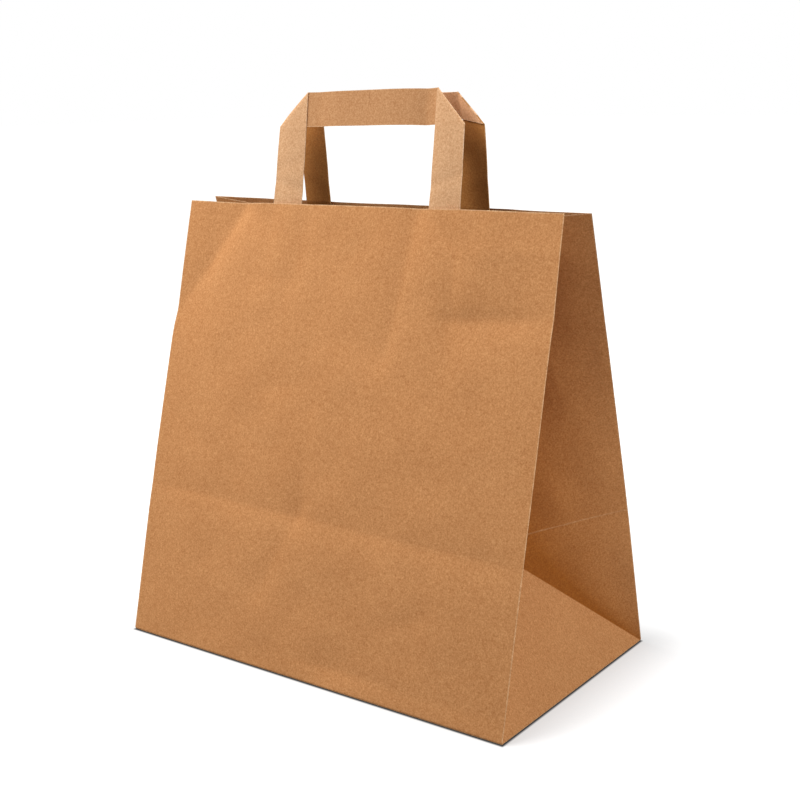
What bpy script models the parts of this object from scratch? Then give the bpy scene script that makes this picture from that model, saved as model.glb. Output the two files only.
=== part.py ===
"""Paper carrier bag with flat folded paper handles, standing open on its block bottom."""

import math

import bmesh
import bpy
from mathutils import Vector

# The folded sheet, in metres. Lengths are measured along the paper.
bag_width = 0.305
bag_depth = 0.178
bag_height = 0.305
mouth_gap = 0.028
paper_thickness = 0.0002

# The fold that crosses the bag where its bottom was once folded flat against it.
cross_fold_above_triangle = 0.014
cross_fold_bend = math.radians(1.6)

# How far the triangle at the foot of each gusset is pushed into the bag.
gusset_triangle_tilt = math.radians(33)

# The two glued flaps of the block bottom, which overlap along the middle.
flap_overlap = 0.024
flap_edge_inset = 0.0005

# The handles, folded from one flat strip each.
strip_width = 0.022
strip_thickness = 0.0006
handle_span = 0.150
handle_leg_height = 0.0505
handle_leg_depth = 0.045
front_handle_lean = math.radians(8)
rear_handle_lean = math.radians(2)

# The patches glued over the handle legs, inside the mouth.
patch_beside_handle = 0.033
patch_below_legs = 0.007
patch_below_mouth = 0.004
patch_ramp = 0.0015
glue_gap = 0.0003

# How finely the twisted gussets are divided.
triangle_steps = 5
gusset_steps = 14
across_steps = 5
shortest_step = 0.001

# Linear colours of the kraft paper, browner on the body and inside it than on the handles.
body_brown = (0.56, 0.30, 0.14)
front_strip_brown = (0.64, 0.37, 0.19)
rear_strip_brown = (0.60, 0.34, 0.17)
patch_brown = (0.52, 0.28, 0.13)
paper_roughness = 0.85

LEFT = -1
RIGHT = 1
FRONT = -1
REAR = 1

gusset_half = bag_depth / 2
cross_fold_height = gusset_half + cross_fold_above_triangle
floor_height = 2 * paper_thickness


def clear_scene():
    for item in list(bpy.data.objects):
        bpy.data.objects.remove(item, do_unlink=True)


def paper_material(name, colour):
    material = bpy.data.materials.new(name)
    material.use_nodes = True
    shader = material.node_tree.nodes["Principled BSDF"]
    shader.inputs["Base Color"].default_value = (*colour, 1.0)
    shader.inputs["Roughness"].default_value = paper_roughness
    shader.inputs["Metallic"].default_value = 0.0
    return material


def finish_object(name, mesh_builder, material):
    bmesh.ops.recalc_face_normals(mesh_builder, faces=mesh_builder.faces)
    mesh = bpy.data.meshes.new(name)
    mesh_builder.to_mesh(mesh)
    mesh_builder.free()
    mesh.materials.append(material)
    item = bpy.data.objects.new(name, mesh)
    bpy.context.scene.collection.objects.link(item)
    return item


# The front and rear panels lean inwards in two straight stretches that meet at the cross fold.

def panel_leans():
    """The two stretches' leans from upright that bring the panels to the mouth's gap."""
    above_fold = bag_height - cross_fold_height
    straight = cross_fold_height + above_fold * math.cos(cross_fold_bend)
    sideways = above_fold * math.sin(cross_fold_bend)
    mouth_inward = (bag_depth - mouth_gap) / 2
    chord_lean = math.asin(mouth_inward / math.hypot(straight, sideways))
    lower_lean = chord_lean - math.atan2(sideways, straight)
    return lower_lean, lower_lean + cross_fold_bend


def panel_point(distance):
    """How far inwards and how high the panel is, a distance up the paper."""
    lower_lean, upper_lean = panel_leans()
    below = min(distance, cross_fold_height)
    above = distance - below
    inward = below * math.sin(lower_lean) + above * math.sin(upper_lean)
    height = below * math.cos(lower_lean) + above * math.cos(upper_lean)
    return inward, height


def edge_point(side, end, distance):
    """A point on one of the four upright edges of the bag."""
    inward, height = panel_point(distance)
    return Vector((side * bag_width / 2, end * (bag_depth / 2 - inward), floor_height + height))


# Each gusset folds inwards along its middle crease, above a triangle that stands on the floor.

def triangle_tip(side):
    inward = gusset_half * math.sin(gusset_triangle_tilt)
    height = gusset_half * math.cos(gusset_triangle_tilt)
    return Vector((side * (bag_width / 2 - inward), 0, floor_height + height))


def crease_top(side):
    """The upper end of the middle crease, as far from the mouth's corners as the paper is wide."""
    reach = math.sqrt(gusset_half ** 2 - (mouth_gap / 2) ** 2)
    crease_length = bag_height - gusset_half
    mouth_height = panel_point(bag_height)[1]
    step_in = gusset_half * math.sin(gusset_triangle_tilt)
    step_down = gusset_half * math.cos(gusset_triangle_tilt) - mouth_height
    span = math.hypot(step_in, step_down)
    along = (reach ** 2 - crease_length ** 2 + span ** 2) / (2 * span)
    across = math.sqrt(reach ** 2 - along ** 2)
    inward = (along * step_in - across * step_down) / span
    height = mouth_height + (along * step_down + across * step_in) / span
    return Vector((side * (bag_width / 2 - inward), 0, floor_height + height))


def crease_point(side, end, distance):
    """The inner side of a gusset half: the triangle's slope first, then the middle crease."""
    if distance <= gusset_half:
        return edge_point(side, end, 0).lerp(triangle_tip(side), distance / gusset_half)
    along_crease = (distance - gusset_half) / (bag_height - gusset_half)
    return triangle_tip(side).lerp(crease_top(side), along_crease)


def sheet_levels():
    levels = [gusset_half * step / triangle_steps for step in range(triangle_steps + 1)]
    for step in range(1, gusset_steps + 1):
        levels.append(gusset_half + (bag_height - gusset_half) * step / gusset_steps)
    levels = [level for level in levels if abs(level - cross_fold_height) > shortest_step]
    return sorted(levels + [cross_fold_height])


def gusset_corners(side, end, level):
    """The points of one gusset half at one level, from its upright edge to its crease."""
    edge = edge_point(side, end, level)
    if level == 0:
        return [(side, end, 0, edge)] * (across_steps + 1)
    crease = crease_point(side, end, level)
    corners = []
    for step in range(across_steps + 1):
        corners.append((side, end, step, edge.lerp(crease, step / across_steps)))
    if level >= gusset_half:
        corners[-1] = (side, 0, across_steps, crease)
    return corners


def sheet_walk(level):
    """The corners of the bag at one level, counter-clockwise from above, by name."""
    walk = gusset_corners(LEFT, FRONT, level)[::-1] + gusset_corners(RIGHT, FRONT, level)
    walk += gusset_corners(RIGHT, REAR, level)[::-1] + gusset_corners(LEFT, REAR, level)
    return walk


def corner_points(level):
    """Each corner's name and outer place at one level, without repeats."""
    return {corner[:3]: corner[3] for corner in sheet_walk(level)}


def inset_points(points, thickness):
    """Move a level's corners inwards, in plan, to the paper's inner face."""
    names = list(points)
    moved = {}
    for index, name in enumerate(names):
        here = points[name]
        before = points[names[index - 1]]
        after = points[names[(index + 1) % len(names)]]
        arriving = (here - before).xy.normalized()
        leaving = (after - here).xy.normalized()
        bisector = Vector((-arriving.y - leaving.y, arriving.x + leaving.x))
        shift = bisector * thickness / (1 + arriving.dot(leaving))
        moved[name] = here + shift.to_3d()
    return moved


def wall_triangles(lower, upper):
    """Triangles of corner names between two levels, split the same way on both paper faces."""
    low_walk = [corner[:3] for corner in sheet_walk(lower)]
    high_walk = [corner[:3] for corner in sheet_walk(upper)]
    triangles = []
    for index, low in enumerate(low_walk):
        following = (index + 1) % len(low_walk)
        low_next, high, high_next = low_walk[following], high_walk[index], high_walk[following]
        if low[2] < low_next[2] or high[2] < high_next[2]:
            pair = [((0, low), (0, low_next), (1, high_next)), ((0, low), (1, high_next), (1, high))]
        else:
            pair = [((0, low), (0, low_next), (1, high)), ((0, low_next), (1, high_next), (1, high))]
        triangles += [triangle for triangle in pair if len(set(triangle)) == 3]
    return triangles


def sheet_solid():
    """The folded sheet as a closed solid, open only at the mouth."""
    builder = bmesh.new()
    levels = sheet_levels()
    outer_rings = []
    inner_rings = []
    for level in levels:
        outer = corner_points(level)
        inner = inset_points(outer, paper_thickness)
        if level == 0:
            inner = {name: point + Vector((0, 0, paper_thickness)) for name, point in inner.items()}
        outer_rings.append({name: builder.verts.new(point) for name, point in outer.items()})
        inner_rings.append({name: builder.verts.new(point) for name, point in inner.items()})
    for index, (lower, upper) in enumerate(zip(levels, levels[1:])):
        for triangle in wall_triangles(lower, upper):
            for rings, order in ((outer_rings, 1), (inner_rings, -1)):
                corners = [rings[index + rise][name] for rise, name in triangle]
                builder.faces.new(corners[::order])
    outer_rim = list(outer_rings[-1].values())
    inner_rim = list(inner_rings[-1].values())
    for index, corner in enumerate(outer_rim):
        builder.faces.new([outer_rim[index - 1], corner, inner_rim[index], inner_rim[index - 1]])
    builder.faces.new(list(outer_rings[0].values())[::-1])
    builder.faces.new(inner_rings[0].values())
    return builder


def add_bottom_flap(name, end, underside, material):
    """One flap of the block bottom, with ends cut at 45 degrees, as a solid to be joined on."""
    base_width = bag_width / 2 - flap_edge_inset
    base_depth = bag_depth / 2 - flap_edge_inset
    tip_depth = -flap_overlap / 2
    tip_width = base_width - (base_depth - tip_depth)
    outline = [(-base_width, end * base_depth), (base_width, end * base_depth)]
    outline += [(tip_width, end * tip_depth), (-tip_width, end * tip_depth)]
    builder = bmesh.new()
    flap = builder.faces.new([builder.verts.new((x, y, underside)) for x, y in outline])
    thickness = floor_height + paper_thickness / 2 - underside
    grown = bmesh.ops.extrude_face_region(builder, geom=[flap])["geom"]
    raised = [part for part in grown if isinstance(part, bmesh.types.BMVert)]
    bmesh.ops.translate(builder, verts=raised, vec=(0, 0, thickness))
    item = finish_object(name, builder, material)
    item.hide_render = True
    item.display_type = "WIRE"
    return item


def add_bag_body(material):
    body = finish_object("bag_body", sheet_solid(), material)
    flaps = [add_bottom_flap("front_flap_guide", FRONT, paper_thickness, material)]
    flaps.append(add_bottom_flap("rear_flap_guide", REAR, 0, material))
    for flap in flaps:
        joined = body.modifiers.new(flap.name, "BOOLEAN")
        joined.operation = "UNION"
        joined.solver = "EXACT"
        joined.object = flap
    return body


# A handle or a patch is laid out flat: along the mouth, up the paper, and into the bag.

def mouth_place(end, strip_lean, along, up, inside):
    """Place a point of the flat layout on the panel's inner face, bent at the mouth."""
    panel_lean = panel_leans()[1]
    along_lean = strip_lean if up > 0 else panel_lean
    face_lean = (strip_lean + panel_lean) / 2 if up == 0 else along_lean
    offset = (paper_thickness + inside) / math.cos(face_lean - along_lean)
    inward, height = panel_point(bag_height)
    inward += up * math.sin(along_lean) + offset * math.cos(face_lean)
    height += up * math.cos(along_lean) - offset * math.sin(face_lean)
    return Vector((along, end * (bag_depth / 2 - inward), floor_height + height))


def handle_prisms():
    """The cells of a folded handle: an outline and a range of thickness for each."""
    outer = handle_span / 2
    inner = outer - strip_width
    shoulder = handle_leg_height
    top = shoulder + strip_width
    legs = (glue_gap, glue_gap + strip_thickness)
    crossbar = (glue_gap + strip_thickness, glue_gap + 2 * strip_thickness)
    prisms = [([(-inner, shoulder), (inner, shoulder), (inner, top), (-inner, top)], crossbar)]
    for side in (LEFT, RIGHT):
        foot, far = side * inner, side * outer
        mitre = [(foot, shoulder), (far, shoulder), (foot, top)]
        prisms.append((mitre, legs))
        prisms.append((mitre, crossbar))
        above = [(foot, 0), (far, 0), (far, shoulder), (foot, shoulder)]
        prisms.append((above, legs))
        below = [(foot, -handle_leg_depth), (far, -handle_leg_depth), (far, 0), (foot, 0)]
        prisms.append((below, legs))
    return prisms


def join_prisms(prisms, place):
    """Make every prism's faces, and drop those that two prisms share."""
    faces = {}
    for outline, (near, far) in prisms:
        sides = [[(u, v, near) for u, v in outline], [(u, v, far) for u, v in outline]]
        for start, (u, v) in enumerate(outline):
            next_u, next_v = outline[(start + 1) % len(outline)]
            sides.append([(u, v, near), (next_u, next_v, near), (next_u, next_v, far), (u, v, far)])
        for corners in sides:
            key = frozenset(corners)
            if key in faces:
                del faces[key]
            else:
                faces[key] = corners
    builder = bmesh.new()
    points = {}
    for corners in faces.values():
        for corner in corners:
            if corner not in points:
                points[corner] = builder.verts.new(place(*corner))
        builder.faces.new([points[corner] for corner in corners])
    return builder


def add_handle(name, end, lean, material):
    def place(along, up, inside):
        return mouth_place(end, lean, along, up, inside)
    return finish_object(name, join_prisms(handle_prisms(), place), material)


def patch_profile():
    """The patch across the mouth: flat on the panel, with a step over each leg."""
    raised = 2 * glue_gap + strip_thickness
    outer = handle_span / 2 + glue_gap
    inner = handle_span / 2 - strip_width - glue_gap
    half = [(inner - patch_ramp, glue_gap), (inner, raised), (outer, raised)]
    half += [(outer + patch_ramp, glue_gap), (handle_span / 2 + patch_beside_handle, glue_gap)]
    return [(-along, inside) for along, inside in reversed(half)] + half


def add_patch(name, end, material):
    builder = bmesh.new()
    loops = []
    for along, inside in patch_profile():
        corners = []
        for depth in (patch_below_mouth, handle_leg_depth + patch_below_legs):
            for ply in (0, paper_thickness):
                corners.append(mouth_place(end, panel_leans()[1], along, -depth, inside + ply))
        near_top, far_top, near_foot, far_foot = [builder.verts.new(corner) for corner in corners]
        loops.append([near_top, far_top, far_foot, near_foot])
    for first, second in zip(loops, loops[1:]):
        for corner in range(len(first)):
            builder.faces.new([first[corner - 1], first[corner], second[corner], second[corner - 1]])
    builder.faces.new(loops[0])
    builder.faces.new(loops[-1])
    return finish_object(name, builder, material)


clear_scene()
add_bag_body(paper_material("body_kraft", body_brown))
add_handle("front_handle", FRONT, front_handle_lean, paper_material("front_strip", front_strip_brown))
add_handle("rear_handle", REAR, rear_handle_lean, paper_material("rear_strip", rear_strip_brown))
add_patch("front_handle_patch", FRONT, paper_material("front_patch", patch_brown))
add_patch("rear_handle_patch", REAR, paper_material("rear_patch", patch_brown))
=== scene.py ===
import math
import random

import bpy
from mathutils import Matrix, Vector, noise


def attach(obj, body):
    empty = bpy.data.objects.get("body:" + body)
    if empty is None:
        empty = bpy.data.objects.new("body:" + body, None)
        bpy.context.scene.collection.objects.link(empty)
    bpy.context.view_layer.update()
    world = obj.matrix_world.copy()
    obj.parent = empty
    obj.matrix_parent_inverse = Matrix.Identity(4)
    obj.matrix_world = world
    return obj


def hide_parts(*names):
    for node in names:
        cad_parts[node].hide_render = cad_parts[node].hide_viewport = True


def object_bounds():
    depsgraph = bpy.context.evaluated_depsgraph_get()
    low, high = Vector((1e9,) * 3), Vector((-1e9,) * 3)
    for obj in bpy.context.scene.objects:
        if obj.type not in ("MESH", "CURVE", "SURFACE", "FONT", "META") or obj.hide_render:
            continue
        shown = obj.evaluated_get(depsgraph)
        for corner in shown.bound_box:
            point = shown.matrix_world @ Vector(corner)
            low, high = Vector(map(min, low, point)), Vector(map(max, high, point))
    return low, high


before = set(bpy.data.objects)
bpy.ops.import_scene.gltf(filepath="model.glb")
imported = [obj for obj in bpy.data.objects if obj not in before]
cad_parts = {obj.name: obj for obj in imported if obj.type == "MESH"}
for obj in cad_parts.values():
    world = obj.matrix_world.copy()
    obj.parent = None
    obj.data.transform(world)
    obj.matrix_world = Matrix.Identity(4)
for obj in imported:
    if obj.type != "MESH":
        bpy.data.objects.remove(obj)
cad_low, cad_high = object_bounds()

# The camera.
# It stands as high as the top of the handles, about 0.9 m away to the bag's front right, and is
# rolled by a degree, as it was for the photograph.
camera_azimuth = math.radians(36.52)
camera_elevation = math.radians(13.22)
camera_roll = math.radians(-1.19)
camera_place = (0.51655, -0.67199, 0.36594)

back = Vector((math.sin(camera_azimuth) * math.cos(camera_elevation),
               -math.cos(camera_azimuth) * math.cos(camera_elevation),
               math.sin(camera_elevation)))
level_right = (-back).cross(Vector((0, 0, 1))).normalized()
level_up = level_right.cross(-back)
right = level_right * math.cos(camera_roll) + level_up * math.sin(camera_roll)
up = level_up * math.cos(camera_roll) - level_right * math.sin(camera_roll)

lens = bpy.data.cameras.new("camera")
lens.lens = 58.99
lens.sensor_width = 36
lens.clip_start = 0.05
lens.clip_end = 50
camera = bpy.data.objects.new("camera", lens)
bpy.context.scene.collection.objects.link(camera)
turned = Matrix((right, up, back)).transposed().to_4x4()
camera.matrix_world = Matrix.Translation(camera_place) @ turned
bpy.context.scene.camera = camera

# The studio.
# A white table under one large soft lamp, high up and to the front left of the bag, with a
# # weaker one to the right. The table is seen as white, with the bag's soft shadow on it, cast by
# # the lamps and deepened near the bag by painted shade.
bpy.context.scene.view_settings.view_transform = "Standard"


def soft_lamp(name, place, aim, size, power):
    """A square lamp, aimed at a point: its size in metres and its power in watts."""
    lamp = bpy.data.lights.new(name, "AREA")
    lamp.shape = "SQUARE"
    lamp.size = size
    lamp.energy = power
    item = bpy.data.objects.new(name, lamp)
    bpy.context.scene.collection.objects.link(item)
    item.location = place
    item.rotation_euler = (Vector(aim) - Vector(place)).to_track_quat("-Z", "Y").to_euler()


soft_lamp("key_lamp", (-0.62, -0.60, 1.42), (0, 0, 0.15), 0.95, 31)
soft_lamp("right_lamp", (1.42, 0.10, 0.56), (0.1, 0, 0.10), 0.7, 12.3)

# The sky lights the bag faintly from all sides, and is seen, also as a sheen, as plain white.
sky = bpy.data.worlds.new("studio_sky")
bpy.context.scene.world = sky
sky.use_nodes = True
sky_nodes = sky.node_tree.nodes
sky_links = sky.node_tree.links
sky_nodes.clear()
sky_rays = sky_nodes.new("ShaderNodeLightPath")
sky_seen = sky_nodes.new("ShaderNodeMath")
sky_seen.operation = "MAXIMUM"
sky_light = sky_nodes.new("ShaderNodeBackground")
sky_light.inputs["Color"].default_value = (1, 1, 1, 1)
sky_light.inputs["Strength"].default_value = 0.20
sky_white = sky_nodes.new("ShaderNodeBackground")
sky_white.inputs["Color"].default_value = (1, 1, 1, 1)
sky_white.inputs["Strength"].default_value = 1.0
sky_mix = sky_nodes.new("ShaderNodeMixShader")
sky_out = sky_nodes.new("ShaderNodeOutputWorld")
sky_links.new(sky_rays.outputs["Is Camera Ray"], sky_seen.inputs[0])
sky_links.new(sky_rays.outputs["Is Glossy Ray"], sky_seen.inputs[1])
sky_links.new(sky_seen.outputs[0], sky_mix.inputs["Fac"])
sky_links.new(sky_light.outputs[0], sky_mix.inputs[1])
sky_links.new(sky_white.outputs[0], sky_mix.inputs[2])
sky_links.new(sky_mix.outputs[0], sky_out.inputs["Surface"])

bpy.ops.object.select_all(action="DESELECT")
bpy.ops.mesh.primitive_plane_add(size=30, location=(0, 0, 0))
table_top = bpy.context.active_object
table_top.name = "table_top"
table_white = bpy.data.materials.new("table_white")
table_white.use_nodes = True
table_nodes = table_white.node_tree.nodes
table_links = table_white.node_tree.links
table_nodes.clear()

# How far a point of the table is from the bag's footprint.
table_place = table_nodes.new("ShaderNodeTexCoord")
table_sides = table_nodes.new("ShaderNodeVectorMath")
table_sides.operation = "ABSOLUTE"
table_past = table_nodes.new("ShaderNodeVectorMath")
table_past.operation = "SUBTRACT"
table_past.inputs[1].default_value = (cad_high[0], cad_high[1], 0)
table_clear = table_nodes.new("ShaderNodeVectorMath")
table_clear.operation = "MAXIMUM"
table_clear.inputs[1].default_value = (0, 0, 0)
table_reach = table_nodes.new("ShaderNodeVectorMath")
table_reach.operation = "LENGTH"
table_links.new(table_place.outputs["Object"], table_sides.inputs[0])
table_links.new(table_sides.outputs[0], table_past.inputs[0])
table_links.new(table_past.outputs[0], table_clear.inputs[0])
table_links.new(table_clear.outputs[0], table_reach.inputs[0])


def by_distance(near, far, at_near, at_far):
    """A value that changes with that distance, between a near and a far one in metres."""
    change = table_nodes.new("ShaderNodeMapRange")
    for socket, value in (("From Min", near), ("From Max", far),
                          ("To Min", at_near), ("To Max", at_far)):
        change.inputs[socket].default_value = value
    table_links.new(table_reach.outputs["Value"], change.inputs["Value"])
    return change.outputs["Result"]


# The table lights the bag as a mid grey. It is seen with a glow of its own, weaker near the bag
# # as a painted shade round its shadow, and lost in a dark line where the two touch, a painted
# # contact shadow. The glow grows away from the bag.
painted_contact_shadow_width = 0.0015
painted_contact_shadow_glow = by_distance(0.0, painted_contact_shadow_width, -0.52, 0.0)
painted_contact_shadow_grey = by_distance(0.0, painted_contact_shadow_width, 0.03, 0.36)
glow_with_painted_shade_near_bag = by_distance(0.0, 0.038, 0.56, 0.90)
far_glow = by_distance(0.20, 0.70, 0.0, 0.16)

table_rays = table_nodes.new("ShaderNodeLightPath")
table_lit = table_nodes.new("ShaderNodeBsdfDiffuse")
table_lit.inputs["Color"].default_value = (0.32, 0.32, 0.32, 1)
table_seen = table_nodes.new("ShaderNodeBsdfDiffuse")
table_glow = table_nodes.new("ShaderNodeEmission")
table_glow.inputs["Color"].default_value = (1, 1, 1, 1)
table_near = table_nodes.new("ShaderNodeMath")
table_near.operation = "ADD"
table_whole = table_nodes.new("ShaderNodeMath")
table_whole.operation = "ADD"
table_sum = table_nodes.new("ShaderNodeAddShader")
table_mix = table_nodes.new("ShaderNodeMixShader")
table_out = table_nodes.new("ShaderNodeOutputMaterial")
table_links.new(painted_contact_shadow_grey, table_seen.inputs["Color"])
table_links.new(glow_with_painted_shade_near_bag, table_near.inputs[0])
table_links.new(painted_contact_shadow_glow, table_near.inputs[1])
table_links.new(table_near.outputs[0], table_whole.inputs[0])
table_links.new(far_glow, table_whole.inputs[1])
table_links.new(table_whole.outputs[0], table_glow.inputs["Strength"])
table_links.new(table_seen.outputs[0], table_sum.inputs[0])
table_links.new(table_glow.outputs[0], table_sum.inputs[1])
table_links.new(table_rays.outputs["Is Camera Ray"], table_mix.inputs["Fac"])
table_links.new(table_lit.outputs[0], table_mix.inputs[1])
table_links.new(table_sum.outputs[0], table_mix.inputs[2])
table_links.new(table_mix.outputs[0], table_out.inputs["Surface"])
table_top.data.materials.append(table_white)

# The folded sheet.
# The bag is one sheet of brown kraft paper, 0.2 mm thick, creased by machine while it is flat
# and opened by hand: two panels, two gussets that fold inwards, and the floor.
LEFT, RIGHT = -1, 1
FRONT, REAR = -1, 1
SIDES = ((LEFT, "left"), (RIGHT, "right"))
ENDS = ((FRONT, "front"), (REAR, "rear"))

bag_width = 0.305
bag_depth = 0.178
bag_height = 0.305
gusset_half = bag_depth / 2
paper = 0.0002
# A pasted piece is drawn a little thinner, so that its faces stay clear of its neighbour's.
pasted_share = 0.9
floor_height = 0.0004
# The cross fold runs round the bag where the bottom was folded up flat. The panels lean in a
# little more above it.
cross_fold = 0.103
cross_bend = math.radians(1.6)
# The triangle at a gusset's foot leans in, and every edge has a narrow band painted paler, for
# # wear and as a painted highlight.
triangle_tilt = math.radians(33)
edge_band = 0.0009
bottom_curl = 0.0006
bottom_curl_height = 0.0014
# How close points are when they are merged or cut, and how far apart when a slope is taken.
weld_distance = 0.00002
score_tolerance = 0.00001
slope_step = 0.001
sheet_smoothing = math.radians(24)

# How far each corner of the mouth stands in from the foot of its panel.
mouth_inward = {
    (LEFT, FRONT): 0.0788, (RIGHT, FRONT): 0.0672, (LEFT, REAR): 0.0750, (RIGHT, REAR): 0.0783}
# How far each upright edge bows outwards, half-way up.
edge_bow = {
    (LEFT, FRONT): 0.0002, (RIGHT, FRONT): 0.0014, (LEFT, REAR): 0.0006, (RIGHT, REAR): 0.0004}

# Where the handles' legs are pasted behind the panels: how far each handle stands to the right,
# and its outer half width, its strip's width and the length of its legs below the mouth.
handle_shift = {FRONT: 0.0037, REAR: 0.0070}
handle_outer = 0.075
strip_width = 0.022
leg_depth = 0.045

soft_wrinkles = random.Random(41)
wrinkle_turns = (-1.2, 1.2)
wrinkle_lengths = (0.018, 0.060)
wrinkle_depths = (-0.00035, 0.00055)
wrinkle_fades = (0.004, 0.012)


def handling_wrinkles(count, across, low, high):
    """Short soft wrinkles from handling, scattered over a stretch of the sheet."""
    wrinkles = []
    for number in range(count):
        start, start_up = soft_wrinkles.uniform(0.01, across), soft_wrinkles.uniform(low, high)
        turn = soft_wrinkles.uniform(*wrinkle_turns)
        length = soft_wrinkles.uniform(*wrinkle_lengths)
        end, end_up = start + length * math.cos(turn), start_up + length * math.sin(turn)
        wrinkles.append((start, start_up, end, end_up, soft_wrinkles.uniform(*wrinkle_depths),
                         soft_wrinkles.uniform(*wrinkle_fades),
                         soft_wrinkles.uniform(*wrinkle_fades)))
    return wrinkles


# Creases, as distances across the sheet from its left edge and up the paper, where each starts
# and ends, then how deep it is, and how far it fades to its left and to its right, seen along
# it. In a gusset the distance across is from its upright edge.
front_creases = [
    (0, 0.1045, 0.305, 0.1010, 0.00150, 0.016, 0.009),
    (0.0017, 0.2304, 0.0508, 0.3025, 0.00540, 0.036, 0.016),
    (0.2372, 0.2397, 0.3057, 0.2453, 0.00420, 0.046, 0.014),
    (0.2340, 0.3040, 0.2400, 0.2480, -0.00240, 0.040, 0.010),
    (0.2316, 0.2788, 0.3007, 0.2823, -0.00070, 0.010, 0.014),
    (0.1880, 0.2145, 0.2000, 0.3020, 0.00160, 0.014, 0.006),
    (0.2060, 0.3040, 0.2340, 0.2810, 0.00090, 0.006, 0.009),
    (0.1340, 0.1680, 0.1346, 0.1060, 0.00100, 0.005, 0.012),
    (0.1346, 0.1060, 0.1087, 0.0504, 0.00090, 0.005, 0.012),
    (0.1500, 0.0125, 0.3060, 0.0100, 0.00060, 0.010, 0.006),
    (0.0200, 0.1500, 0.0750, 0.1250, 0.00045, 0.012, 0.008),
    (0.2550, 0.1900, 0.2950, 0.1400, 0.00050, 0.014, 0.008),
    (0.0550, 0.3040, 0.0800, 0.2350, -0.00070, 0.010, 0.016),
    (0.0820, 0.3040, 0.0790, 0.2580, 0.00080, 0.005, 0.010),
    (0.1130, 0.3040, 0.1040, 0.2560, 0.00060, 0.012, 0.006),
    (0.2560, 0.3040, 0.2480, 0.2600, -0.00045, 0.008, 0.012),
] + handling_wrinkles(26, 0.28, 0.02, 0.28)
rear_creases = [
    (0, 0.1040, 0.305, 0.1050, 0.00085, 0.010, 0.008),
    (0.0100, 0.2500, 0.0700, 0.3000, 0.00050, 0.026, 0.008),
    (0.2300, 0.2560, 0.3000, 0.2350, 0.00060, 0.020, 0.008),
    (0.0600, 0.2250, 0.1500, 0.1980, 0.00030, 0.012, 0.007),
    (0.1900, 0.1750, 0.2080, 0.1060, 0.00030, 0.008, 0.006),
    (0.0300, 0.0120, 0.2000, 0.0140, 0.00030, 0.010, 0.006),
    (0.1200, 0.0900, 0.1750, 0.0250, 0.00025, 0.010, 0.008),
] + handling_wrinkles(26, 0.28, 0.02, 0.28)
panel_creases = {FRONT: front_creases, REAR: rear_creases}
gusset_creases = [
    (0.0, 0.1030, 0.089, 0.1030, 0.00150, 0.010, 0.005),
    (0.0150, 0.2000, 0.0700, 0.2500, 0.00035, 0.014, 0.008),
    (0.0300, 0.1650, 0.0800, 0.1250, 0.00030, 0.012, 0.008),
] + handling_wrinkles(7, 0.07, 0.10, 0.28)
crease_softness = 0.0016
crease_end_fade = 0.012

# The sheet's cockling, coarse to fine: how wide and how high its waves are on the sheet, a
# number that sets them apart, and how deep they are.
cockling = ((0.075, 0.095, 0.0, 0.00100),
            (0.026, 0.034, 7.3, 0.00085),
            (0.011, 0.014, 19.1, 0.00005))


def crease_depth(creases, across, distance):
    """How far the paper lies in at a point, from all the creases near it."""
    depth = 0.0
    for start, start_up, end, end_up, deep, left_fade, right_fade in creases:
        run, rise = end - start, end_up - start_up
        length = math.hypot(run, rise)
        along = ((across - start) * run + (distance - start_up) * rise) / length
        beside = ((across - start) * rise - (distance - start_up) * run) / length
        beyond = max(0.0, -along, along - length)
        fade = right_fade if beside > 0 else left_fade
        side = math.hypot(beside, crease_softness) - crease_softness
        depth += deep * math.exp(-side / fade - (beyond / crease_end_fade) ** 2)
    return depth


def waviness(across, distance, seed):
    """The sheet's own soft cockling, in metres, with another seed for each part of the sheet."""
    return sum(deep * noise.noise(Vector((across / wide, distance / high, seed + apart)))
               for wide, high, apart, deep in cockling)


def foot_curl(distance):
    """How far the paper turns in under the bag where it is folded into the bottom."""
    return bottom_curl * max(0.0, 1 - distance / bottom_curl_height) ** 2


def edge_line(side, end, distance):
    """An upright edge of the bag: two straight stretches that meet at the cross fold."""
    above = bag_height - cross_fold
    straight = cross_fold + above * math.cos(cross_bend)
    sideways = above * math.sin(cross_bend)
    lean = math.asin(mouth_inward[side, end] / math.hypot(straight, sideways))
    lean -= math.atan2(sideways, straight)
    low = min(distance, cross_fold)
    high = distance - low
    inward = low * math.sin(lean) + high * math.sin(lean + cross_bend)
    height = low * math.cos(lean) + high * math.cos(lean + cross_bend)
    bow = edge_bow[side, end] * math.sin(math.pi * distance / bag_height) - foot_curl(distance)
    inward += foot_curl(distance)
    return Vector((side * (bag_width / 2 + bow), end * (bag_depth / 2 - inward),
                   floor_height + height))


leg_print_depth = 0.00040
leg_print_side = 0.0022
leg_print_foot = 0.004
far_off = 40


def leg_print(end, across, distance):
    """How far the glued handle legs press the panel outwards near the mouth."""
    press = 0.0
    for side in (LEFT, RIGHT):
        middle = bag_width / 2 + handle_shift[end] + side * (handle_outer - strip_width / 2)
        beside = (abs(across - middle) - strip_width / 2) / leg_print_side
        below = (bag_height - leg_depth - distance) / leg_print_foot
        press += (leg_print_depth / (1 + math.exp(min(beside, far_off) * 2))
                  / (1 + math.exp(min(below, far_off) * 2)))
    return press


# A panel's dents fade out towards its foot, and keep a share of their depth at its edges.
foot_hold = 0.012
edge_hold = 0.025
edge_dent_share = 0.35


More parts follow.
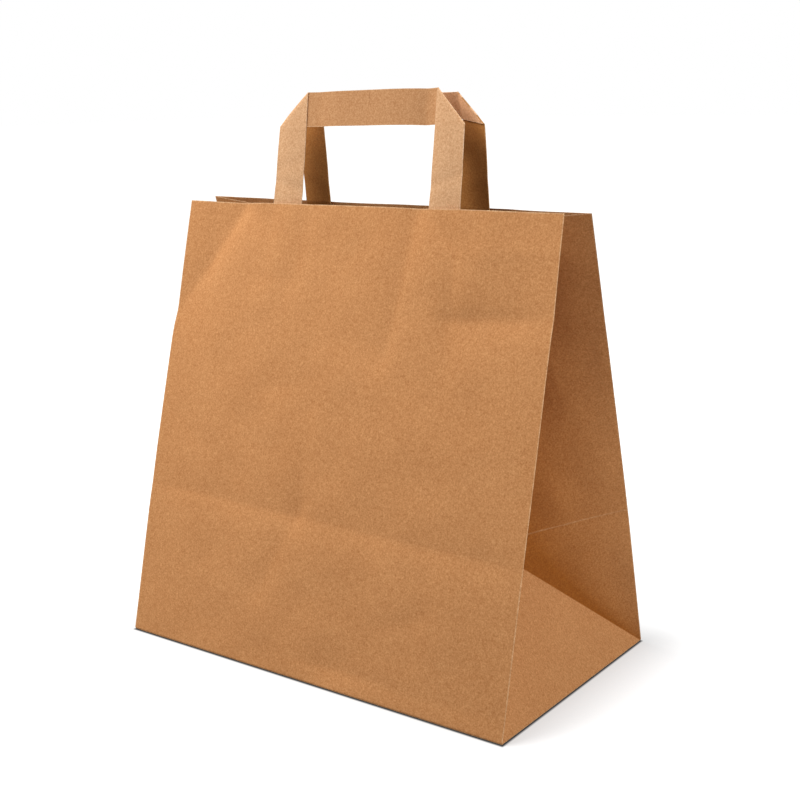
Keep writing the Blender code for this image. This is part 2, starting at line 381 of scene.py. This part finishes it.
def panel_place(end, across, distance, inside=0.0):
    """A point of the front or rear panel, or of what is glued on its inner face."""
    left, right = edge_line(LEFT, end, distance), edge_line(RIGHT, end, distance)
    step = (edge_line(LEFT, end, distance + slope_step)
            - edge_line(LEFT, end, distance - slope_step))
    outward = ((right - left).cross(step) * -end).normalized()
    dent = crease_depth(panel_creases[end], across, distance) - leg_print(end, across, distance)
    from_edge = min(1.0, max(0.0, min(across, bag_width - across)) / edge_hold)
    dent *= edge_dent_share + (1 - edge_dent_share) * from_edge
    middle = math.sin(math.pi * min(max(across / bag_width, 0), 1)) ** 0.5
    dent += waviness(across, distance, 3.1 + 5 * end) * middle
    foot = min(1.0, distance / foot_hold)
    return left.lerp(right, across / bag_width) - outward * (dent * foot + inside)


def triangle_tip(side):
    """The tip of the triangle at a gusset's foot, where the gusset's middle crease starts."""
    return Vector((side * (bag_width / 2 - gusset_half * math.sin(triangle_tilt)), 0,
                   floor_height + gusset_half * math.cos(triangle_tilt)))


def crease_top(side):
    """The upper end of a gusset's middle crease, held by the paper's own lengths."""
    front, rear = edge_line(side, FRONT, bag_height), edge_line(side, REAR, bag_height)
    middle = (front + rear) / 2
    axis = (rear - front).normalized()
    reach = math.sqrt(gusset_half ** 2 - (rear - front).length_squared / 4)
    down = triangle_tip(side) - middle
    aside = down.dot(axis)
    down -= axis * aside
    crease_squared = (bag_height - gusset_half) ** 2 - aside ** 2
    along = (reach ** 2 - crease_squared + down.length_squared) / (2 * down.length)
    across = math.sqrt(reach ** 2 - along ** 2)
    inwards = axis.cross(down).normalized() * across
    if inwards.x * side > 0:
        inwards = -inwards
    return middle + down.normalized() * along + inwards


def middle_crease(side, distance):
    """A point of a gusset's middle crease, above the triangle."""
    share = (distance - gusset_half) / (bag_height - gusset_half)
    return triangle_tip(side).lerp(crease_top(side), share)


def upright_edge(side, end, distance):
    """A point of the edge that a panel and a gusset share, dents included."""
    return panel_place(end, bag_width if side == RIGHT else 0.0, distance)


diagonal_hold = 0.02


def gusset_place(side, end, across, distance):
    """A point of one half of a gusset, measured from its upright edge towards its crease."""
    corner = Vector((side * bag_width / 2, end * bag_depth / 2, floor_height))
    curl = Vector((side, end, 0)) * foot_curl(distance)
    slope = corner.lerp(triangle_tip(side), distance / gusset_half) - curl
    if distance >= across:
        edge = upright_edge(side, end, distance)
        if distance < gusset_half:
            crease = slope
            share = across / distance if distance > 0 else 0.0
        else:
            crease = middle_crease(side, distance)
            share = across / gusset_half
        point = edge.lerp(crease, share)
        higher = upright_edge(side, end, distance + 2 * slope_step) - edge
        outward = (higher.cross(crease - edge) * (side * end)).normalized()
        hold = math.sin(math.pi * min(max(share, 0.0), 1.0))
        hold *= min(1.0, (distance - across) / diagonal_hold)
        dent = crease_depth(gusset_creases, across, distance)
        dent += 2 * waviness(across, distance, 11.7 + 3 * side + end)
        return point - outward * dent * hold
    # Below the diagonal crease the paper is part of the triangle.
    middle = Vector((corner.x, 0, corner.z)).lerp(triangle_tip(side), distance / gusset_half)
    middle.x -= curl.x
    return slope.lerp(middle, (across - distance) / (gusset_half - distance))


def floor_place(across, deep):
    """A point of the floor, from the front left corner of its blank."""
    return Vector(((across - bag_width / 2) * (1 - 2 * bottom_curl / bag_width),
                   (deep - bag_depth / 2) * (1 - 2 * bottom_curl / bag_depth), floor_height))


# Painted shade in a gusset: its share at the upright edge, what it gains towards the middle
# crease, what it gains along the diagonal crease, and how fast that fades.
painted_shade_at_edge = 0.14
painted_shade_to_crease = 0.85
painted_shade_at_diagonal = 0.70
painted_shade_diagonal_fade = 0.018


def gusset_painted_shade(across, distance):
    """How much painted shade a point of a gusset gets, from 0 to 1, for how shut in it lies. The
    triangle is in the open and gets none.
    """
    if across > distance + 0.0001:
        return 0.0
    near_diagonal = math.exp(-(distance - across) / painted_shade_diagonal_fade)
    return min(1.0, painted_shade_at_edge + painted_shade_to_crease * across / gusset_half
               + painted_shade_at_diagonal * near_diagonal)


# A line on a flat blank, for a crease, a cut or an edge, is a point on it and the way it runs,
# given by the direction square to it.
UPRIGHT = (1, 0)
LEVEL = (0, 1)
DIAGONAL = (-math.sqrt(0.5), math.sqrt(0.5))
OTHER_DIAGONAL = (math.sqrt(0.5), math.sqrt(0.5))
on_line = 0.00005
# How pale a crease inside a sheet is painted, as a share of an edge: wear and a painted highlight.
faint_wear_and_highlight = 0.30


def outer_edges(width, height):
    """The four edges of a blank."""
    return [((0, 0), UPRIGHT), ((width, 0), UPRIGHT), ((0, 0), LEVEL), ((0, height), LEVEL)]


def pick(items):
    """Select these pieces alone and make the first one active."""
    bpy.ops.object.select_all(action="DESELECT")
    for item in items:
        item.select_set(True)
    bpy.context.view_layer.objects.active = items[0]


def flat_blank(name, width, height, columns, rows, cuts):
    """A flat rectangle of paper from the origin, scored along straight lines."""
    bpy.ops.object.select_all(action="DESELECT")
    bpy.ops.mesh.primitive_grid_add(x_subdivisions=columns, y_subdivisions=rows, size=1)
    blank = bpy.context.active_object
    blank.name = name
    bpy.ops.object.mode_set(mode="EDIT")
    bpy.ops.mesh.select_all(action="SELECT")
    bpy.ops.transform.translate(value=(0.5, 0.5, 0))
    bpy.ops.transform.resize(value=(width, height, 1), center_override=(0, 0, 0))
    for point, across in cuts:
        bpy.ops.mesh.select_all(action="SELECT")
        bpy.ops.mesh.bisect(plane_co=(*point, 0), plane_no=(*across, 0), threshold=score_tolerance)
    bpy.ops.mesh.select_all(action="SELECT")
    bpy.ops.mesh.remove_doubles(threshold=weld_distance)
    bpy.ops.object.mode_set(mode="OBJECT")
    return blank


def mark_paper(blank, edges, faint=(), shade=None):
    """Keep the flat layout as a map, in metres, and mark the pale edges, rubbed and with a painted
    highlight: fully at the creased or cut edges, and a little at the heights in faint. Where a
    shade is given, it says how much painted shade each point gets, for how shut in it is."""
    mesh = blank.data
    while mesh.uv_layers:
        mesh.uv_layers.remove(mesh.uv_layers[0])
    layout = mesh.uv_layers.new(name="flat_paper")
    for loop in mesh.loops:
        layout.data[loop.index].uv = mesh.vertices[loop.vertex_index].co.xy
    wear_and_highlight = mesh.attributes.new("wear_and_highlight_edge", "FLOAT", "POINT")
    for index, vertex in enumerate(mesh.vertices):
        flat = vertex.co.xy
        close = min(abs((flat.x - x) * across_x + (flat.y - y) * across_y)
                    for (x, y), (across_x, across_y) in edges)
        if close < on_line:
            wear_and_highlight.data[index].value = 1.0
        elif any(abs(flat.y - level) < on_line for level in faint):
            wear_and_highlight.data[index].value = faint_wear_and_highlight
    # Where a shade is given, each point is marked with its painted shade.
    if shade is not None:
        painted_shade_depth = mesh.attributes.new("painted_shade_depth", "FLOAT", "POINT")
        for index, vertex in enumerate(mesh.vertices):
            painted_shade_depth.data[index].value = shade(vertex.co.x, vertex.co.y)


def fold(blank, place, *which):
    """Carry every point of the flat blank to its place on the bag."""
    for vertex in blank.data.vertices:
        vertex.co = place(*which, vertex.co.x, vertex.co.y)


def turn_faces(item, towards):
    """Turn round each face that doesn't look the way it should."""
    pick([item])
    bpy.ops.object.mode_set(mode="EDIT")
    bpy.ops.mesh.select_all(action="DESELECT")
    bpy.ops.object.mode_set(mode="OBJECT")
    for face in item.data.polygons:
        face.select = face.normal.dot(Vector(towards)) < 0
    if any(face.select for face in item.data.polygons):
        bpy.ops.object.mode_set(mode="EDIT")
        bpy.ops.mesh.flip_normals()
        bpy.ops.object.mode_set(mode="OBJECT")


def join_all(name, items):
    """Make one piece of several."""
    pick(items)
    bpy.ops.object.join()
    whole = bpy.context.active_object
    whole.name = name
    whole.data.name = name
    return whole


def thicken(item, thickness, offset, smoothing):
    """Merge the seams, give the paper its thickness, and shade it smooth between its creases."""
    pick([item])
    bpy.ops.object.mode_set(mode="EDIT")
    bpy.ops.mesh.select_all(action="SELECT")
    bpy.ops.mesh.remove_doubles(threshold=weld_distance)
    bpy.ops.object.mode_set(mode="OBJECT")
    wall = item.modifiers.new("paper", "SOLIDIFY")
    wall.thickness = thickness
    wall.offset = offset
    wall.use_even_offset = False
    bpy.ops.object.modifier_apply(modifier=wall.name)
    bpy.ops.object.shade_smooth_by_angle(angle=smoothing)


# The sheet is scored beside its creases and edges, so that the pale band there, rubbed and a
# # painted highlight, stays narrow, and in between where it curls in at the foot and bends at the
# # cross fold.
curl_levels = (0.0004, bottom_curl_height, 0.0020)
cross_fold_half = 0.0008
upright_scores = [((edge_band, 0), UPRIGHT), ((bag_width - edge_band, 0), UPRIGHT)]
level_scores = [((0, level), LEVEL) for level in (
    edge_band, bag_height - edge_band, *curl_levels, cross_fold, gusset_half)]
sheet_parts = []
for end, title in ENDS:
    panel = flat_blank(f"{title}_panel", bag_width, bag_height, 102, 102,
                       upright_scores + level_scores)
    mark_paper(panel, outer_edges(bag_width, bag_height))
    fold(panel, panel_place, end)
    turn_faces(panel, (0, end, 0))
    sheet_parts.append(panel)

gusset_scores = [((edge_band, 0), UPRIGHT), ((gusset_half - edge_band, 0), UPRIGHT),
                 ((0, 0), DIAGONAL), ((0, edge_band), DIAGONAL), ((edge_band, 0), DIAGONAL)]
cross_scores = [((0, cross_fold + shift), LEVEL)
                for shift in (-cross_fold_half, 0.0, cross_fold_half)]
for side, side_title in SIDES:
    for end, end_title in ENDS:
        half = flat_blank(f"{side_title}_{end_title}_gusset", gusset_half, bag_height, 30, 102,
                          gusset_scores + level_scores + cross_scores)
        # Each half is marked with painted shade, darker towards its middle crease and along its
        # diagonal crease.
        mark_paper(half, [((0, 0), UPRIGHT), ((0, 0), LEVEL), ((0, bag_height), LEVEL)],
                   (cross_fold,), gusset_painted_shade)
        fold(half, gusset_place, side, end)
        # It looks out to its side, a little up, and a little towards the gusset's other half.
        turn_faces(half, (side, end * -0.35, 0.3))
        sheet_parts.append(half)

floor_scores = upright_scores + [((0, level), LEVEL) for level in (
    edge_band, bag_depth - edge_band, gusset_half)]
floor_sheet = flat_blank("floor_sheet", bag_width, bag_depth, 102, 60, floor_scores)
mark_paper(floor_sheet, outer_edges(bag_width, bag_depth))
fold(floor_sheet, floor_place)
turn_faces(floor_sheet, (0, 0, -1))
sheet_parts.append(floor_sheet)

bag_sheet = join_all("bag_sheet", sheet_parts)
thicken(bag_sheet, paper, -1, sheet_smoothing)


def kraft_paper(name, colour, wear_and_highlight, cloudy=1.0):
    """Brown kraft: cloudy pulp, short fibres, faint lines from the machine, paler at its edges for
    wear and a painted highlight, and painted darker where it is marked as shut in.
    """
    material = bpy.data.materials.new(name)
    material.use_nodes = True
    nodes = material.node_tree.nodes
    links = material.node_tree.links
    shader = nodes["Principled BSDF"]
    shader.inputs["Specular IOR Level"].default_value = 0.14
    place = nodes.new("ShaderNodeTexCoord").outputs["Object"]
    layout = nodes.new("ShaderNodeUVMap")
    layout.uv_map = "flat_paper"

    def feed(socket, value):
        """Link a socket to another one, or give it a plain value."""
        if isinstance(value, bpy.types.NodeSocket):
            links.new(value, socket)
        else:
            socket.default_value = value

    def cloud(scale, detail, roughness, source, stretch=(1, 1, 1)):
        """Soft random spots, so many to the metre."""
        spread = nodes.new("ShaderNodeMapping")
        texture = nodes.new("ShaderNodeTexNoise")
        feed(spread.inputs["Vector"], source)
        feed(spread.inputs["Scale"], stretch)
        feed(texture.inputs["Vector"], spread.outputs[0])
        feed(texture.inputs["Scale"], scale)
        feed(texture.inputs["Detail"], detail)
        feed(texture.inputs["Roughness"], roughness)
        return texture.outputs["Fac"]

    def span(source, low, high, to_low, to_high):
        """Stretch the values between two levels to lie between two others."""
        remap = nodes.new("ShaderNodeMapRange")
        feed(remap.inputs["Value"], source)
        feed(remap.inputs["From Min"], low)
        feed(remap.inputs["From Max"], high)
        feed(remap.inputs["To Min"], to_low)
        feed(remap.inputs["To Max"], to_high)
        return remap.outputs["Result"]

    def combine(operation, first, *others):
        """Add or multiply values, one after another."""
        for other in others:
            step = nodes.new("ShaderNodeMath")
            step.operation = operation
            feed(step.inputs[0], first)
            feed(step.inputs[1], other)
            first = step.outputs[0]
        return first

    def mix(blend, factor, first, second):
        """Blend a second colour over the first."""
        blended = nodes.new("ShaderNodeMix")
        blended.data_type = "RGBA"
        blended.blend_type = blend
        feed(blended.inputs["Factor"], factor)
        feed(blended.inputs["A"], first)
        feed(blended.inputs["B"], second)
        return blended.outputs["Result"]

    def painted(attribute):
        """What the pieces were marked with, point by point."""
        reader = nodes.new("ShaderNodeAttribute")
        reader.attribute_name = attribute
        return reader.outputs["Fac"]

    grain = cloud(520, 3, 0.65, place)
    specks = cloud(1000, 2, 0.6, place)
    flecks = cloud(230, 4, 0.6, place)
    broad = cloud(26, 3, 0.55, place)
    soft_relief = cloud(60, 2, 0.5, place)
    fibres_up = cloud(1, 2, 0.5, layout.outputs[0], (2600, 380, 1))
    fibres_across = cloud(1, 2, 0.5, layout.outputs[0], (420, 2400, 1))
    machine_lines = nodes.new("ShaderNodeTexWave")
    machine_lines.bands_direction = "X"
    feed(machine_lines.inputs["Vector"], layout.outputs[0])
    feed(machine_lines.inputs["Scale"], 185)
    feed(machine_lines.inputs["Distortion"], 1.2)
    feed(machine_lines.inputs["Detail"], 2)
    lines = machine_lines.outputs["Fac"]

    # Each texture makes the paper darker or paler. Most values of a cloud lie from low to high.
    low, high = 0.3, 0.7
    shade = combine(
        "MULTIPLY",
        span(grain, low, high, 1 - 0.100 * cloudy, 1 + 0.100 * cloudy),
        span(specks, low, high, 0.80, 1.20),
        span(flecks, low, high, 1 - 0.04 * cloudy, 1 + 0.04 * cloudy),
        span(broad, low, high, 0.97, 1.03),
        span(fibres_up, 0.60, 0.78, 1.0, 1.14),
        span(fibres_across, 0.62, 0.80, 1.0, 0.86),
        span(lines, 0.0, 1.0, 0.995, 1.005))

    # Thin places of the pulp are paler, and thick ones darker and browner. Deep in a gusset the
    #     colour is also painted darker and browner, a painted shade for its recess.
    pulp = mix("MIX", span(shade, 0.70, 1.30, 0.0, 1.0),
               (0.76, 0.65, 0.54, 1), (1.24, 1.35, 1.48, 1))
    # The painted shade: a darker, browner copy of the colour where the paper is marked as shut in.
    painted_shade_colour = (colour[0] * 0.64, colour[1] * 0.46, colour[2] * 0.20, 1)
    with_painted_shade = mix("MIX", painted("painted_shade_depth"), (*colour, 1), painted_shade_colour)
    # The edges are painted paler, partly for wear and partly as a painted highlight on the fold.
    wear_and_highlight_mask = combine("MULTIPLY", painted("wear_and_highlight_edge"), span(flecks, 0.35, 0.6, 0.55, 1.0))
    whole = mix("MULTIPLY", 1.0, mix("MIX", wear_and_highlight_mask, with_painted_shade, (*wear_and_highlight, 1)), pulp)
    feed(shader.inputs["Base Color"], whole)
    feed(shader.inputs["Roughness"], span(flecks, low, high, 0.78, 0.92))

    # The relief's heights are in metres.
    relief = nodes.new("ShaderNodeBump")
    feed(relief.inputs["Strength"], 1.0)
    feed(relief.inputs["Distance"], 1.0)
    feed(relief.inputs["Height"], combine(
        "ADD",
        combine("MULTIPLY", grain, 0.00004),
        combine("MULTIPLY", flecks, 0.00005),
        combine("MULTIPLY", soft_relief, 0.00034 * cloudy),
        combine("MULTIPLY", lines, 0.000006)))
    feed(shader.inputs["Normal"], relief.outputs["Normal"])
    return material


body_paper = kraft_paper("body_kraft_paper", (0.55, 0.252, 0.094), (0.73, 0.46, 0.25))
bag_sheet.data.materials.append(body_paper)
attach(bag_sheet, "root")
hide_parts("bag_body")

# The block bottom.
# Two flaps of the same sheet are folded under the floor, the front one first, and pasted where
# they overlap. Their ends are cut at 45 degrees by the way the bottom is opened and folded.
flap_overlap = 0.024
flap_inset = 0.0016
flap_width = bag_width - 2 * flap_inset
flap_reach = bag_depth / 2 - flap_inset + flap_overlap / 2
flap_ends = [((0, 0), DIAGONAL), ((flap_width, 0), OTHER_DIAGONAL)]


def flap_place(end, underside, across, deep):
    """A point of a flap, whose fold is at the foot of its panel."""
    return Vector((across - flap_width / 2, end * (bag_depth / 2 - flap_inset - deep), underside))


bottom_flaps = []
for end, title, underside in ((FRONT, "front_flap", paper), (REAR, "rear_flap", 0.0)):
    flap = flat_blank(title, flap_width, flap_reach, 60, 20, flap_ends)
    bpy.ops.object.mode_set(mode="EDIT")
    bpy.ops.mesh.select_all(action="DESELECT")
    bpy.ops.mesh.select_mode(type="FACE")
    bpy.ops.object.mode_set(mode="OBJECT")
    for face in flap.data.polygons:
        face.select = face.center.y > min(face.center.x, flap_width - face.center.x)
    bpy.ops.object.mode_set(mode="EDIT")
    bpy.ops.mesh.delete(type="FACE")
    bpy.ops.mesh.select_mode(type="VERT")
    bpy.ops.object.mode_set(mode="OBJECT")
    mark_paper(flap, [((0, flap_reach), LEVEL), ((0, 0), LEVEL)] + flap_ends)
    fold(flap, flap_place, end, underside)
    turn_faces(flap, (0, 0, -1))
    bottom_flaps.append(flap)
block_bottom = join_all("block_bottom", bottom_flaps)
thicken(block_bottom, paper * pasted_share, -1, sheet_smoothing)
block_bottom.data.materials.append(body_paper)
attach(block_bottom, "root")
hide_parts("bag_body")

# The back seam.
# The sheet is closed into a tube by a lap of 18 mm, pasted over the rear panel along one
# upright edge.
seam_width = 0.018
seam_gap = 0.00004


def seam_place(across, distance):
    """A point of the lap, just outside the rear panel."""
    return panel_place(REAR, across, distance, -seam_gap)


back_seam = flat_blank("back_seam", seam_width, bag_height, 6, 102, level_scores)
mark_paper(back_seam, [((seam_width, 0), UPRIGHT), ((0, bag_height), LEVEL)])
fold(back_seam, seam_place)
turn_faces(back_seam, (0, -1, 0))
thicken(back_seam, paper * pasted_share, -1, sheet_smoothing)
back_seam.data.materials.append(body_paper)
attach(back_seam, "root")

# The handles.
# Each is one strip folded flat from several plies of kraft, 22 mm wide. It runs up as a leg,
# is folded over at 45 degrees into the crossbar and down again, and its legs are pasted inside.
strip_thickness = 0.0006
glue_gap = 0.0003
shoulder = 0.0505
handle_inner = handle_outer - strip_width
handle_top = shoulder + strip_width
handle_smoothing = math.radians(35)
handle_lean = {FRONT: math.radians(8.1), REAR: math.radians(2.15)}
# How far each leg is twisted out of the panel's plane, at the mouth and at the shoulder. Below
# the mouth the paste soon holds it flat.
leg_twist = {
    (LEFT, FRONT): (math.radians(11), math.radians(4)),
    (RIGHT, FRONT): (math.radians(9), math.radians(3)),
    (LEFT, REAR): (math.radians(1), math.radians(1)),
    (RIGHT, REAR): (math.radians(1), math.radians(25))}
leg_twist_fade = 0.012
# How far each leg is out of place along the mouth, at its foot and at the shoulder.
leg_slant = {
    (LEFT, FRONT): (-0.0026, 0.0), (RIGHT, FRONT): (-0.0008, 0.0),
    (LEFT, REAR): (0.0026, 0.0), (RIGHT, REAR): (0.0, 0.0044)}
leg_slant_fade = 0.030
# How far each handle is pulled up, how far the middle of its crossbar bows into the bag, and how
# far the crossbar leans that way, with the share of that lean that moves it. The rest only makes
# it look narrower, as in the photograph.
handle_raise = {FRONT: 0.0, REAR: 0.0034}
crossbar_bow = {FRONT: 0.0, REAR: 0.0010}
crossbar_lean = {FRONT: 0.0, REAR: math.radians(37)}
crossbar_lean_share = 0.35
# Wrinkles in the strip, given as the sheet's creases are, from the handle's middle at the mouth.
# They start a little above the mouth.
handle_wrinkle_start = 0.006
handle_wrinkles = {
    FRONT: [(-0.076, 0.0150, -0.054, 0.0100, 0.00045, 0.004, 0.003),
            (-0.070, 0.0230, -0.052, 0.0300, 0.00025, 0.004, 0.004),
            (0.052, 0.0130, 0.076, 0.0220, 0.00045, 0.004, 0.003)],
    REAR: [(-0.074, 0.0200, -0.052, 0.0120, 0.00035, 0.004, 0.003),
           (0.050, 0.0120, 0.074, 0.0180, 0.00035, 0.004, 0.003),
           (0.020, 0.0500, 0.012, 0.0730, 0.00025, 0.006, 0.004)]}


def twisted_off(side, end, along, up):
    """How far a leg's twist takes a point off the panel, for its place across the leg."""
    hold = math.exp(-((min(up, 0.0) / leg_twist_fade) ** 2))
    raised = min(max(up / shoulder, 0.0), 1.0)
    at_mouth, at_shoulder = leg_twist[side, end]
    return along * math.tan((at_mouth + (at_shoulder - at_mouth) * raised) * hold)


def leg_spring(end, along, up):
    """How far a handle stands off its panel: the folded strip springs a little open."""
    over_left_leg = max(0.0, min(along, -handle_inner) + handle_outer)
    over_right_leg = max(0.0, along - handle_inner)
    along_crossbar = min(max((along + handle_inner) / (2 * handle_inner), 0), 1)
    return (twisted_off(LEFT, end, over_left_leg, up) * (1 - along_crossbar)
            + twisted_off(RIGHT, end, over_right_leg, up))


def handle_place(end, along, up, inside):
    """A point of the handle's flat layout: along the mouth, up from it, and into the bag."""
    across = bag_width / 2 + handle_shift[end] + along
    at_foot, at_top = leg_slant[LEFT if along < 0 else RIGHT, end]
    raised = min(max(up / shoulder, 0.0), 1.0)
    buried = math.exp(-(min(up, 0.0) / leg_slant_fade) ** 2)
    slant = at_foot * (1 - raised) * buried + at_top * raised
    across += slant * min(1.0, abs(along) / handle_inner)
    stand = inside + leg_spring(end, along, up)
    if up > 0:
        over = max(0.0, up - shoulder)
        stand += crossbar_bow[end] * raised * max(0.0, 1 - (along / handle_inner) ** 2)
        wrinkled = min(1.0, up / handle_wrinkle_start)
        stand += crease_depth(handle_wrinkles[end], along, up) * wrinkled
        stand += crossbar_lean_share * over * math.sin(crossbar_lean[end])
        up += handle_raise[end] * raised - over * (1 - math.cos(crossbar_lean[end]))
    if up <= 0:
        return panel_place(end, across, bag_height + up, paper + stand)
    mouth = panel_place(end, across, bag_height, paper + stand)
    lean = handle_lean[end]
    return mouth + Vector((0, -end * math.sin(lean), math.cos(lean))) * up


strip_band = 0.0004
strip_waves = 0.0003
strip_wave_size = 0.03
fold_half_width = 0.0006
fold_ramp = 0.0004
strip_scores = [((0, leg_depth), LEVEL), ((0, leg_depth + handle_top), LEVEL),
                ((strip_band, 0), UPRIGHT), ((strip_width - strip_band, 0), UPRIGHT)]
for shift in (-fold_half_width, 0.0, fold_half_width):
    strip_scores.append(((0, leg_depth + shoulder + shift), DIAGONAL))
strip_edges = [((0, 0), UPRIGHT), ((strip_width, 0), UPRIGHT),
               ((0, leg_depth + shoulder), DIAGONAL)]
half_length = leg_depth + shoulder + handle_outer


def strip_place(end, side, wide, long):
    """Fold half a strip: straight up as a leg, then over at the 45 degree fold."""
    along, up = wide - handle_outer, long - leg_depth
    past = ((up - shoulder) - (along + handle_outer)) * math.sqrt(0.5)
    if past > 0:
        along, up = (up - shoulder) - handle_outer, shoulder + wide
    ply = min(max((past + fold_half_width) / (2 * fold_half_width), 0.0), 1.0)
    ply = ply * ply * (3 - 2 * ply)
    inside = glue_gap + strip_thickness * (0.5 + ply)
    inside += strip_waves * noise.noise(
        Vector((along / strip_wave_size, up / strip_wave_size, 17.0 * end + side)))
    along = -along if side == RIGHT else along
    return handle_place(end, along, up, inside)


# The strip's smooth side looks out on the legs and, folded over, into the bag on the crossbar.
handle_papers = {
    FRONT: (kraft_paper("front_handle_smooth_side", (0.69, 0.392, 0.200), (0.80, 0.55, 0.35), 0.6),
            kraft_paper("front_handle_rough_side", (0.53, 0.265, 0.115), (0.74, 0.48, 0.28), 0.6)),
    # The rear handle is the same kraft with painted light: its smooth side painted paler, as if
    # its mitred corner caught the lamp, and its rough side painted darker, a painted shade for the
    # front handle's shadow on its legs.
    REAR: (kraft_paper("rear_handle_smooth_side_painted_light", (0.86, 0.48, 0.25), (0.88, 0.62, 0.40), 0.6),
           kraft_paper("rear_handle_rough_side_painted_shade", (0.44, 0.18, 0.045), (0.60, 0.34, 0.15), 0.6))}
for end, title in ENDS:
    halves = []
    for side in (LEFT, RIGHT):
        strip = flat_blank(f"{title}_half_strip", strip_width, half_length, 11, 86, strip_scores)
        mark_paper(strip, strip_edges)
        folded_over = strip.data.attributes.new("folded_over", "FLOAT", "POINT")
        for index, vertex in enumerate(strip.data.vertices):
            past = (vertex.co.y - leg_depth - shoulder) - vertex.co.x
            folded_over.data[index].value = min(max(past / fold_ramp, 0.0), 1.0)
        fold(strip, strip_place, end, side)
        halves.append(strip)
    handle = join_all(f"{title}_paper_handle", halves)
    bpy.ops.object.mode_set(mode="EDIT")
    bpy.ops.mesh.select_all(action="SELECT")
    bpy.ops.mesh.remove_doubles(threshold=weld_distance)
    bpy.ops.mesh.normals_make_consistent(inside=False)
    bpy.ops.object.mode_set(mode="OBJECT")
    thicken(handle, strip_thickness * pasted_share, 0, handle_smoothing)
    for side_paper in handle_papers[end]:
        handle.data.materials.append(side_paper)
    folded_over = handle.data.attributes["folded_over"].data
    for face in handle.data.polygons:
        corners = [folded_over[corner].value for corner in face.vertices]
        past_fold = sum(corners) / len(corners) > 0.5
        looks_out = face.normal.y * end > 0
        face.material_index = 0 if looks_out != past_fold else 1
    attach(handle, "root")
    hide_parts(f"{title}_handle")

# The patches.
# A sheet of kraft is pasted over the legs of each handle, inside the mouth, so that the pull of
# a full bag is spread over the panel. It follows the legs underneath it.
patch_beside = 0.033
patch_top = 0.004
patch_foot = leg_depth + 0.007
patch_width = 2 * (handle_outer + patch_beside)
patch_height = patch_foot - patch_top
# The patch's step starts a little beside a leg, and clears the leg and its paste.
patch_step_start = 0.0003
patch_step_width = 0.0012
patch_step_below = 0.002
patch_clearance = 0.00035


def patch_place(end, wide, long):
    """A point of a patch, raised where it lies over a leg."""
    along = wide - handle_outer - patch_beside
    up = long - patch_foot
    off_leg = abs(abs(along) - (handle_outer - strip_width / 2)) - strip_width / 2
    raised = 1 - min(max((off_leg - patch_step_start) / patch_step_width, 0.0), 1.0)
    if up < -leg_depth:
        raised *= max(0.0, 1 - (-leg_depth - up) / patch_step_below)
    return handle_place(end, along, up, glue_gap + (strip_thickness + patch_clearance) * raised)


patch_scores = []
patch_step_end = patch_step_start + patch_step_width
for edge in (patch_beside, patch_beside + strip_width):
    for step in (-patch_step_end, 0.0, patch_step_end):
        patch_scores.append(((edge + step, 0), UPRIGHT))
        patch_scores.append(((patch_width - edge + step, 0), UPRIGHT))
patch_paper = kraft_paper("patch_kraft_paper", (0.52, 0.28, 0.13), (0.70, 0.45, 0.26))
for end, title in ENDS:
    patch = flat_blank(f"{title}_paper_patch", patch_width, patch_height, 72, 18, patch_scores)
    mark_paper(patch, outer_edges(patch_width, patch_height))
    fold(patch, patch_place, end)
    turn_faces(patch, (0, end, 0))
    thicken(patch, paper * pasted_share, -1, handle_smoothing)
    patch.data.materials.append(patch_paper)
    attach(patch, "root")
    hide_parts(f"{title}_handle_patch")
